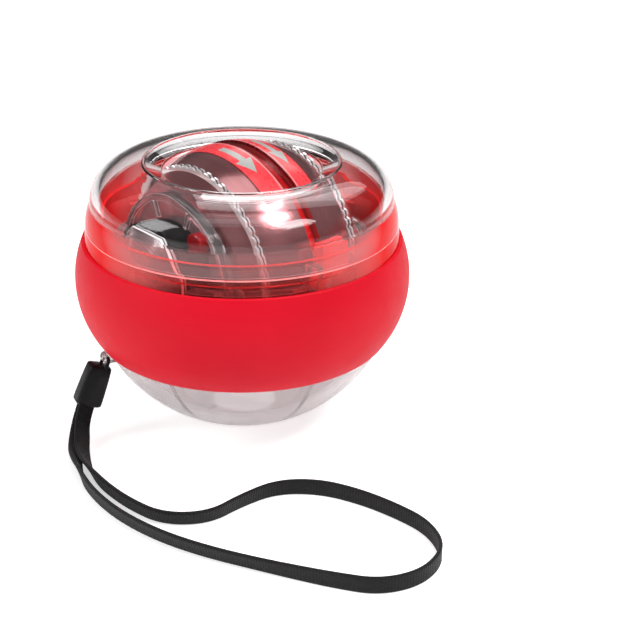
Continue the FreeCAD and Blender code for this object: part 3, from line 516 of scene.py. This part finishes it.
def floor_finish():
    """White paper, lit a little from behind and brighter to the camera than in reflections."""
    made, tree = new_finish("floor_paper")
    here = spot(tree)
    seen = put(tree, "ShaderNodeLightPath").outputs["Is Camera Ray"]
    return surface(made, {
        "Base Color": blended(
            tree, grain(tree, here, 3.0, 3.0), (0.90, 0.90, 0.905), (0.93, 0.93, 0.93)),
        "Roughness": 0.7,
        "Emission Color": (1.0, 1.0, 1.0, 1.0),
        "Emission Strength": between(tree, seen, 0.0, 1.0, 0.34, 0.60),
        "Normal": dents(tree, grain(tree, here, 900.0, 3.0), 0.00002, 0.3),
    })


finishes = {
    "clear_upper": upper_shell_finish(),
    "clear_lower": lower_shell_finish(),
    "silicone": silicone_finish(),
    "race_red": tinted_plastic(
        "race_red", (0.74, 0.010, 0.014), (0.84, 0.018, 0.022),
        transmission=0.35, rough=0.10, passes=0.5),
    "race_clear_red": race_finish(),
    "ring_clear": clear_plastic("ring_clear", (0.93, 0.86, 0.87), (0.74, 0.60, 0.61)),
    "guide_red": moulded(
        "guide_red", (0.72, 0.005, 0.010), (0.82, 0.010, 0.016), 0.10, coat=0.8, depth=0.00001),
    "roller_steel": metal("roller_steel", (0.92, 0.92, 0.93), 0.15, metallic=0.45),
    "bush_brass": metal("bush_brass", (0.78, 0.58, 0.27), 0.2),
    "barrel_black": moulded(
        "barrel_black", (0.007, 0.0065, 0.007), (0.012, 0.0112, 0.012), 0.7, gloss=0.05),
    "cover_clear": cover_finish(),
    "screw_steel": metal("screw_steel", (0.62, 0.62, 0.64), 0.22, turned=False),
    "spring_steel": metal("spring_steel", (0.36, 0.38, 0.44), 0.25),
    "arbor_steel": metal("arbor_steel", (0.66, 0.66, 0.68), 0.18),
    "ratchet_steel": metal("ratchet_steel", (0.60, 0.60, 0.62), 0.25, turned=False),
    "pawl_steel": metal("pawl_steel", (0.56, 0.56, 0.58), 0.25, turned=False),
    "pin_steel": metal("pin_steel", (0.70, 0.70, 0.72), 0.15),
    "rotor_rose": rotor_finish(),
    "groove_red": moulded("groove_red", (0.48, 0.004, 0.006), (0.62, 0.008, 0.011), 0.18, coat=0.6),
    "label_red": label_finish(),
    "weight_zinc": metal("weight_zinc", (0.55, 0.55, 0.56), 0.4, turned=False),
    "thumb_clear": ribbed_ring_finish(),
    "axle_steel": metal("axle_steel", (0.72, 0.72, 0.74), 0.12),
    "cord_nylon": cord_finish(),
    "clip_black": moulded(
        "clip_black", (0.003, 0.003, 0.0035), (0.006, 0.006, 0.007), 0.40,
        coat=0.04, depth=0.00001, gloss=0.2),
    "strap_black": webbing_finish(),
}

for part in frame["record"]["subparts"]:
    shown = frame["nodes"].get(part["node"])
    if shown is not None and shown.type == "MESH":
        shown.data.materials.clear()
        shown.data.materials.append(finishes[part["material_slot"]])


# Ways of making pieces

def object_of(name, data):
    """A new object in the scene, with its mesh, curve, lamp or camera."""
    made = bpy.data.objects.new(name, data)
    bpy.context.scene.collection.objects.link(made)
    return made


def plain_copy(carrier, name):
    """The evaluated object as a plain mesh object; the carrier goes away."""
    bpy.context.view_layer.update()
    seen = carrier.evaluated_get(bpy.context.evaluated_depsgraph_get())
    mesh = bpy.data.meshes.new_from_object(seen)
    mesh.name = name
    old = carrier.data
    bpy.data.objects.remove(carrier)
    if isinstance(old, bpy.types.Mesh):
        bpy.data.meshes.remove(old)
    return object_of(name, mesh)


def settle(piece, body, node=None):
    """Tells the frame which body a piece rides on and the solid it stands for."""
    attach(piece, body)
    if node:
        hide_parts(node)


def copies_about(name, shape, count, centre, axis, finish):
    """Equal copies of a shape, evenly round an axis through a centre, as one plain mesh."""
    tree = bpy.data.node_groups.new(name, "GeometryNodeTree")
    face = tree.interface
    face.new_socket("Geometry", in_out="INPUT", socket_type="NodeSocketGeometry")
    wanted = {
        "Count": ("NodeSocketInt", count),
        "Centre": ("NodeSocketVector", tuple(centre)),
        "Axis": ("NodeSocketVector", tuple(axis)),
        "Finish": ("NodeSocketMaterial", finish),
    }
    sockets = {
        key: face.new_socket(key, in_out="INPUT", socket_type=kind)
        for key, (kind, value) in wanted.items()
    }
    face.new_socket("Geometry", in_out="OUTPUT", socket_type="NodeSocketGeometry")
    given = tree.nodes.new("NodeGroupInput").outputs
    index = put(tree, "GeometryNodeInputIndex").outputs[0]
    shares = sums(tree, "DIVIDE", index, given["Count"])
    angle = sums(tree, "MULTIPLY", shares, 2 * math.pi)
    back = put(tree, "ShaderNodeVectorMath", {
        0: given["Centre"], "Scale": -1.0,
    }, operation="SCALE")
    moved = put(tree, "GeometryNodeTransform", {
        "Geometry": given["Geometry"], "Translation": back.outputs[0],
    })
    turned = put(tree, "FunctionNodeAxisAngleToRotation", {
        "Axis": given["Axis"], "Angle": angle,
    })
    places = put(tree, "GeometryNodePoints", {
        "Count": given["Count"], "Position": given["Centre"],
    })
    copies = put(tree, "GeometryNodeInstanceOnPoints", {
        "Points": places.outputs[0], "Instance": moved.outputs[0], "Rotation": turned.outputs[0],
    })
    real = put(tree, "GeometryNodeRealizeInstances", {0: copies.outputs[0]})
    coloured = put(tree, "GeometryNodeSetMaterial", {
        "Geometry": real.outputs[0], "Material": given["Finish"],
    })
    tree.links.new(coloured.outputs[0], tree.nodes.new("NodeGroupOutput").inputs[0])
    carrier = object_of(name, shape)
    repeats = carrier.modifiers.new("copies", "NODES")
    repeats.node_group = tree
    for key, (kind, value) in wanted.items():
        repeats[sockets[key].identifier] = value
    return plain_copy(carrier, name)


def mesh_of(shape, name, smooth_angle=35.0):
    """Closes a worked shape: outward faces, smooth but for its real edges."""
    bmesh.ops.recalc_face_normals(shape, faces=shape.faces)
    for face in shape.faces:
        face.smooth = True
    mesh = bpy.data.meshes.new(name)
    shape.to_mesh(mesh)
    shape.free()
    mesh.set_sharp_from_angle(angle=math.radians(smooth_angle))
    return mesh


def on_sphere(radius, turn, along):
    """Point of a sphere about the rotor's middle: turn about the axle, place along it."""
    reach = math.sqrt(radius ** 2 - along ** 2)
    outwards = SIDE * (reach * math.cos(turn)) + UP * (reach * math.sin(turn))
    return ROTOR_CENTRE + outwards + AXLE * along


def smoothstep(value):
    """Carries 0 to 1 onto itself with a soft start and end."""
    value = min(1.0, max(0.0, value))
    return value * value * (3.0 - 2.0 * value)


# Edges of the solids

EDGE_WIDTHS = {
    "spring_cover": 0.22 * MM,
    "guide_boss_front": 0.35 * MM,
    "guide_boss_rear": 0.35 * MM,
    "spring_barrel": 0.25 * MM,
    "gimbal_ring": 0.30 * MM,
}
JOINED = 0.002 * MM
FLAT = math.radians(0.4)
SHARP = math.radians(38.0)


def eased(node, width):
    """A solid's own mesh with its sharp edges rounded off, in place of the solid."""
    shape = bmesh.new()
    shape.from_mesh(frame["nodes"][node].data)
    bmesh.ops.remove_doubles(shape, verts=shape.verts, dist=JOINED)
    bmesh.ops.dissolve_limit(shape, angle_limit=FLAT, verts=shape.verts, edges=shape.edges)
    edges = [
        edge for edge in shape.edges
        if len(edge.link_faces) == 2 and edge.calc_face_angle() > SHARP
    ]
    mark = shape.faces.layers.float.new("edge")
    rounded = bmesh.ops.bevel(shape, geom=edges, offset=width, segments=2, profile=0.5,
                              affect="EDGES", clamp_overlap=True)
    for face in rounded["faces"]:
        face[mark] = 1.0
    mesh = mesh_of(shape, node + "_eased", 30.0)
    mesh.materials.append(finishes[SLOT_OF[node]])
    piece = object_of(node + "_eased", mesh)
    settle(piece, BODY_OF[node], node)


for node, width in EDGE_WIDTHS.items():
    eased(node, width)


# Printed arrows

ARROW_PLACE = 4.35 * MM
ARROW_SHAFT = 0.72 * MM
ARROW_HEAD = 1.95 * MM
ARROW_TAIL = math.radians(94.0)
ARROW_NECK = math.radians(77.0)
ARROW_TIP = math.radians(66.0)
ARROW_COUNT = 3
ARROW_STEPS = 8
ARROW_COLUMNS = 6
ARROW_RADIUS = ROTOR_RADIUS + 0.04 * MM
ARROW_THICKNESS = 0.06 * MM


def arrow_strip(shape, rows, middle):
    """A strip on the rotor's skin from rows of a turn and a half width."""
    lines = []
    for turn, half in rows:
        places = [middle + half * (2 * n / ARROW_COLUMNS - 1) for n in range(ARROW_COLUMNS + 1)]
        lines.append([shape.verts.new(on_sphere(ARROW_RADIUS, turn, at)) for at in places])
    for one, other in zip(lines, lines[1:]):
        for n in range(ARROW_COLUMNS):
            shape.faces.new((one[n], one[n + 1], other[n + 1], other[n]))


def arrow_pair():
    """One printed arrow on each label, as thin plates."""
    shape = bmesh.new()
    steps = [n / ARROW_STEPS for n in range(ARROW_STEPS + 1)]
    shaft = [(ARROW_TAIL + (ARROW_NECK - ARROW_TAIL) * at, ARROW_SHAFT) for at in steps]
    head = [(ARROW_NECK + (ARROW_TIP - ARROW_NECK) * at, ARROW_HEAD * (1.005 - at)) for at in steps]
    for side in (1, -1):
        arrow_strip(shape, shaft, side * ARROW_PLACE)
        arrow_strip(shape, head, side * ARROW_PLACE)
    bmesh.ops.recalc_face_normals(shape, faces=shape.faces)
    for face in shape.faces:
        middle = face.calc_center_median()
        if face.normal.dot(middle - ROTOR_CENTRE) < 0:
            face.normal_flip()
    bmesh.ops.solidify(shape, geom=shape.faces[:], thickness=ARROW_THICKNESS)
    return mesh_of(shape, "arrow_pair")


arrows = copies_about(
    "arrow_marks", arrow_pair(), ARROW_COUNT, ROTOR_CENTRE, AXLE, silver_ink())
settle(arrows, "rotor")


# Red caps over the starter's screws

CAP_CIRCLE = 14.5 * MM
CAP_FIRST = math.radians(48.0)
CAP_SEAT = 18.6 * MM
CAP_SIDES = 40
CAP_COUNT = 3

# Outline of a cap from its crown to its foot, in millimetres: radius and rise
CAP_OUTLINE = [(2.05, 2.3), (2.25, 2.1), (2.3, 1.8), (2.3, 0.0)]


def about_axle(turn):
    """Direction straight out from the axle."""
    return SIDE * math.cos(turn) + UP * math.sin(turn)


def screw_cap():
    """A turned cap, standing along the axle at the first screw."""
    shape = bmesh.new()
    foot = ROTOR_CENTRE + AXLE * CAP_SEAT + about_axle(CAP_FIRST) * CAP_CIRCLE
    turns = [2 * math.pi * n / CAP_SIDES for n in range(CAP_SIDES)]
    rings = []
    for radius, rise in CAP_OUTLINE:
        centre = foot + AXLE * rise * MM
        rings.append([shape.verts.new(centre + about_axle(a) * radius * MM) for a in turns])
    for one, other in zip(rings, rings[1:]):
        for n in range(CAP_SIDES):
            after = (n + 1) % CAP_SIDES
            shape.faces.new((one[n], one[after], other[after], other[n]))
    shape.faces.new(rings[0])
    shape.faces.new(rings[-1])
    return mesh_of(shape, "screw_cap")


cap_red = tinted_plastic(
    "cap_red", (0.30, 0.008, 0.012), (0.38, 0.014, 0.020),
    transmission=0.4, rough=0.06, passes=0.5)
caps = copies_about("screw_caps", screw_cap(), CAP_COUNT, ROTOR_CENTRE, AXLE, cap_red)
settle(caps, "gimbal")


# Wrist strap

def line_of(points, name):
    """Points along the smooth curve that a route controls."""
    curve = bpy.data.curves.new(name, "CURVE")
    curve.dimensions = "3D"
    run = curve.splines.new("NURBS")
    run.points.add(len(points) - 1)
    for place, control in zip(points, run.points):
        control.co = (place[0], place[1], place[2], 1.0)
    run.order_u = 3
    run.use_endpoint_u = True
    run.resolution_u = 10
    carrier = object_of(name, curve)
    bpy.context.view_layer.update()
    seen = carrier.evaluated_get(bpy.context.evaluated_depsgraph_get())
    mesh = bpy.data.meshes.new_from_object(seen)
    line = [v.co.copy() for v in mesh.vertices]
    bpy.data.objects.remove(carrier)
    bpy.data.meshes.remove(mesh)
    bpy.data.curves.remove(curve)
    kept = [line[0]]
    for place in line[1:]:
        if (place - kept[-1]).length > 1e-6:
            kept.append(place)
    return kept


# Route of the woven strap's middle line: down from the clip, round the tip and back.
STRAP_ROUTE = [
    (-0.03358, -0.01537, 0.00825), (-0.03422, -0.01567, 0.00649), (-0.03480, -0.01780, 0.00420),
    (-0.03490, -0.02040, 0.00295), (-0.03480, -0.02380, 0.00210), (-0.03430, -0.02760, 0.00185),
    (-0.03300, -0.03240, 0.00185), (-0.02990, -0.03970, 0.00185), (-0.02500, -0.04680, 0.00185),
    (-0.01890, -0.05290, 0.00185), (-0.01180, -0.05800, 0.00185), (-0.00410, -0.06200, 0.00185),
    (0.00390, -0.06520, 0.00185), (0.01210, -0.06815, 0.00185), (0.02030, -0.07080, 0.00185),
    (0.02880, -0.07280, 0.00185), (0.03700, -0.06930, 0.00185), (0.04140, -0.06140, 0.00185),
    (0.03880, -0.05280, 0.00185), (0.03250, -0.04680, 0.00185), (0.02540, -0.04180, 0.00185),
    (0.01740, -0.03830, 0.00185), (0.00860, -0.03860, 0.00185), (0.00160, -0.04400, 0.00185),
    (-0.00430, -0.05040, 0.00185), (-0.01330, -0.05110, 0.00185), (-0.02040, -0.04600, 0.00185),
    (-0.02630, -0.03960, 0.00185), (-0.03040, -0.03320, 0.00185), (-0.03240, -0.02840, 0.00185),
    (-0.03340, -0.02460, 0.00210), (-0.03380, -0.02120, 0.00295), (-0.03420, -0.01860, 0.00420),
    (-0.03377, -0.01661, 0.00649), (-0.03313, -0.01631, 0.00825),
]
STRAP_WIDTH = 3.6 * MM
STRAP_THICKNESS = 0.8 * MM
CLIP_PLACE = Vector((-29.4541, -13.9858, 16.5331)) * MM
CLIP_AWAY = Vector((-0.837558, -0.397702, 0.374607))
CLIP_BACK = Vector((-0.428935, 0.903335, 0.0))
CLIP_DOWN = Vector((-0.338395, -0.160682, -0.927184))

# Shares of the strap's length: its hanging ends, and where it leans or stands. The lean in radians.
HANGING, HANGING_FADE = 0.03, 0.09
LEAN_END, LEAN_AGAIN, LEAN_FADE = 0.30, 0.64, 0.12
LEAN = 0.34


def strap_edge(share):
    """Direction of the strap's width: across the clip at its ends, upright on the floor."""
    hang = 1.0 - smoothstep((min(share, 1.0 - share) - HANGING) / HANGING_FADE)
    stood_up = smoothstep((share - LEAN_END) / LEAN_FADE)
    leant_again = smoothstep((share - LEAN_AGAIN) / LEAN_FADE)
    floor_edge = UP + Vector((0.0, -math.tan(LEAN * (1.0 - stood_up + leant_again)), 0.0))
    return CLIP_AWAY.lerp(floor_edge.normalized(), 1.0 - hang)


def swept(shape, line, ring_at, lengths, around):
    """Sweeps a closed ring along a line and gives it the cloth map: across it and along it."""
    weave = shape.loops.layers.uv.new("weave")
    rows = [[shape.verts.new(p) for p in ring_at(n)] for n in range(len(line))]
    count = len(rows[0])
    for n in range(len(rows) - 1):
        for k in range(count):
            after = (k + 1) % count
            quad = shape.faces.new(
                (rows[n][k], rows[n][after], rows[n + 1][after], rows[n + 1][k]))
            corners = ((k, n), (k + 1, n), (k + 1, n + 1), (k, n + 1))
            for loop, (across, along) in zip(quad.loops, corners):
                loop[weave].uv = (around[across], lengths[along])
    shape.faces.new(list(reversed(rows[0])))
    shape.faces.new(rows[-1])


def direction_at(line, n):
    """Direction in which a line runs at one of its points."""
    return (line[min(n + 1, len(line) - 1)] - line[max(n - 1, 0)]).normalized()


def lengths_along(line):
    """Length of a line up to each of its points."""
    gone = [0.0]
    for one, other in zip(line, line[1:]):
        gone.append(gone[-1] + (other - one).length)
    return gone


def woven_strap():
    """Flat webbing swept along its route, with rounded selvedges."""
    line = line_of(STRAP_ROUTE, "strap_line")
    lengths = lengths_along(line)
    half_w = STRAP_WIDTH / 2
    half_t = STRAP_THICKNESS / 2
    selvedge = 0.8 * half_t
    ring = []
    for n in range(5):
        turn = math.pi / 2 * (n / 4 - 1)
        ring.append((half_w - selvedge + selvedge * math.cos(turn), half_t * math.sin(turn)))
    ring += [(x, -y) for x, y in reversed(ring[:-1])]
    middle = [(half_w * f, half_t * 0.94) for f in (0.55, 0.2, -0.2, -0.55)]
    ring = ring + middle + [(-x, -y) for x, y in ring] + [(-x, -y) for x, y in middle]
    run = [0.0]
    for one, other in zip(ring, ring[1:] + ring[:1]):
        run.append(run[-1] + math.hypot(other[0] - one[0], other[1] - one[1]))

    def ring_at(n):
        ahead = direction_at(line, n)
        wanted = strap_edge(lengths[n] / lengths[-1])
        edge = (wanted - ahead * wanted.dot(ahead)).normalized()
        face = ahead.cross(edge)
        return [line[n] + edge * x + face * y for x, y in ring]

    shape = bmesh.new()
    swept(shape, line, ring_at, lengths, run)
    mesh = mesh_of(shape, "woven_strap", 80.0)
    mesh.materials.append(finishes["strap_black"])
    return object_of("woven_strap", mesh), line


def in_clip(x, y, z):
    """Point given in the clip's own directions, in millimetres."""
    return CLIP_PLACE + (CLIP_AWAY * x + CLIP_BACK * y + CLIP_DOWN * z) * MM


# Route of the thin cord in the clip's own directions, in millimetres: sideways and down
CORD_ROUTE = [
    (-1.73, 1.6), (-1.73, 0.4), (-1.73, -0.9), (-1.55, -2.0), (0.0, -2.05),
    (1.55, -2.0), (1.73, -0.9), (1.73, 0.4), (1.73, 1.6),
]
CORD_RADIUS = 0.39 * MM
CORD_SIDES = 14


def hanging_cord():
    """Thin cord: out of the clip, through the eye and back in."""
    line = line_of([in_clip(0, y, z) for y, z in CORD_ROUTE], "cord_line")
    turns = [2 * math.pi * k / CORD_SIDES for k in range(CORD_SIDES)]

    def ring_at(n):
        other = direction_at(line, n).cross(CLIP_AWAY).normalized()
        return [
            line[n] + (CLIP_AWAY * math.cos(a) + other * math.sin(a)) * CORD_RADIUS for a in turns
        ]

    shape = bmesh.new()
    around = [k / CORD_SIDES for k in range(CORD_SIDES + 1)]
    swept(shape, line, ring_at, lengths_along(line), around)
    mesh = mesh_of(shape, "hanging_cord", 80.0)
    mesh.materials.append(finishes["cord_nylon"])
    return object_of("hanging_cord", mesh)


# Sections of the clip from its top to its foot, in millimetres: place, half width, half depth
CLIP_SECTIONS = [
    (0.00, 2.15, 1.45), (0.18, 2.40, 1.72), (0.50, 2.52, 1.86), (2.4, 2.66, 2.00),
    (4.6, 2.78, 2.08), (6.8, 2.88, 2.12), (8.7, 2.93, 2.12), (9.05, 2.86, 2.05),
    (9.3, 2.62, 1.84),
]
CLIP_MIDDLE = 0.9
CLIP_STEPS = 56
CLIP_CORNER = 0.42
RIDGE_RISE = 0.34
RIDGE_PLACE = -0.25
RIDGE_HALF = 0.75


def clip_ring(half_width, half_depth):
    """Rounded rectangle with a low ridge down the middle of both faces."""
    points = []
    for n in range(CLIP_STEPS):
        turn = 2 * math.pi * n / CLIP_STEPS
        c, s = math.cos(turn), math.sin(turn)
        x = half_width * math.copysign(abs(c) ** CLIP_CORNER, c)
        y = half_depth * math.copysign(abs(s) ** CLIP_CORNER, s)
        ridge = RIDGE_RISE * smoothstep(1.0 - abs(x - RIDGE_PLACE) / RIDGE_HALF)
        points.append((x, y + math.copysign(ridge, s) * (abs(s) > 0.5)))
    return points


def moulded_clip():
    """Satin tapered clip that takes both ends of the strap and of the cord."""
    shape = bmesh.new()
    rows = []
    for along, half_width, half_depth in CLIP_SECTIONS:
        rows.append([
            shape.verts.new(in_clip(CLIP_MIDDLE + x, y, along))
            for x, y in clip_ring(half_width, half_depth)
        ])
    for one, other in zip(rows, rows[1:]):
        for n in range(len(one)):
            after = (n + 1) % len(one)
            shape.faces.new((one[n], one[after], other[after], other[n]))
    shape.faces.new(list(reversed(rows[0])))
    shape.faces.new(rows[-1])
    mesh = mesh_of(shape, "moulded_clip", 50.0)
    mesh.materials.append(finishes["clip_black"])
    return object_of("moulded_clip", mesh)


strap, strap_line = woven_strap()
cord = hanging_cord()
clip = moulded_clip()
settle(strap, "shell", "wrist_strap")
settle(cord, "shell", "strap_cord")
settle(clip, "shell", "strap_clip")


# Studio

FLOOR = 6.0
BALL_MIDDLE = Vector((0.0, 0.0, 0.035))

floor_mesh = bpy.data.meshes.new("floor")
floor_mesh.from_pydata(
    [(-FLOOR, -FLOOR, 0), (FLOOR, -FLOOR, 0), (FLOOR, FLOOR, 0), (-FLOOR, FLOOR, 0)],
    [], [(0, 1, 2, 3)])
floor = object_of("floor", floor_mesh)
floor_mesh.materials.append(floor_finish())


def lamp(name, place, width, height, power):
    """A rectangular soft box that faces the ball."""
    light = bpy.data.lights.new(name, "AREA")
    light.shape = "RECTANGLE"
    light.size = width
    light.size_y = height
    light.energy = power
    made = object_of(name, light)
    made.location = place
    made.rotation_euler = (BALL_MIDDLE - Vector(place)).to_track_quat("-Z", "Y").to_euler()


lamp("soft_box", (0.43, -0.24, 0.80), 0.34, 0.26, 6.2)
lamp("left_box", (-0.70, -0.25, 0.50), 0.30, 0.50, 3.6)
lamp("back_box", (0.15, 0.70, 0.65), 0.60, 0.35, 1.5)
lamp("overhead", (-0.05, 0.0, 1.20), 0.60, 0.60, 2.2)

# Air of the studio: dim all round in reflections, plain paper to the camera
world = bpy.data.worlds.new("studio_air")
bpy.context.scene.world = world
world.use_nodes = True
air = world.node_tree
air.nodes.clear()
aloft = split(air, put(air, "ShaderNodeTexCoord").outputs["Generated"])["Z"]
shade = sums(air, "MULTIPLY", between(air, aloft, 0.05, 0.45),
             between(air, aloft, 0.85, 0.60, 0.30, 1.0))
sky = put(air, "ShaderNodeBackground", {
    "Color": blended(air, shade, (0.30, 0.27, 0.27), (1.0, 0.99, 0.99)), "Strength": 0.16,
})
paper = put(air, "ShaderNodeBackground", {"Color": (0.96, 0.96, 0.96, 1.0), "Strength": 1.0})
seen = put(air, "ShaderNodeLightPath").outputs["Is Camera Ray"]
around = put(air, "ShaderNodeMixShader", {0: seen, 1: sky.outputs[0], 2: paper.outputs[0]})
air.links.new(around.outputs[0], put(air, "ShaderNodeOutputWorld").inputs["Surface"])

# Camera: it looks down by 25 degrees and is turned a little about its line of sight
CAMERA_PLACE = (0.0170, -0.2926, 0.1595)
CAMERA_ROLL = math.radians(-0.81)
sight = Vector((0.0, 0.9044, -0.4267)).normalized()
level_up = Vector((0.0, 0.4267, 0.9044)).normalized()
level_right = Vector((1.0, 0.0, 0.0))
right = level_right * math.cos(CAMERA_ROLL) - level_up * math.sin(CAMERA_ROLL)
upwards = level_right * math.sin(CAMERA_ROLL) + level_up * math.cos(CAMERA_ROLL)
eye = bpy.data.cameras.new("camera")
eye.lens = 81.67
eye.sensor_width = 36.0
eye.clip_start = 0.01
eye.clip_end = 50.0
camera = object_of("camera", eye)
turn = Matrix((right, upwards, -sight)).transposed().to_4x4()
camera.matrix_world = Matrix.Translation(CAMERA_PLACE) @ turn
bpy.context.scene.camera = camera
bpy.context.scene.view_settings.view_transform = "Standard"
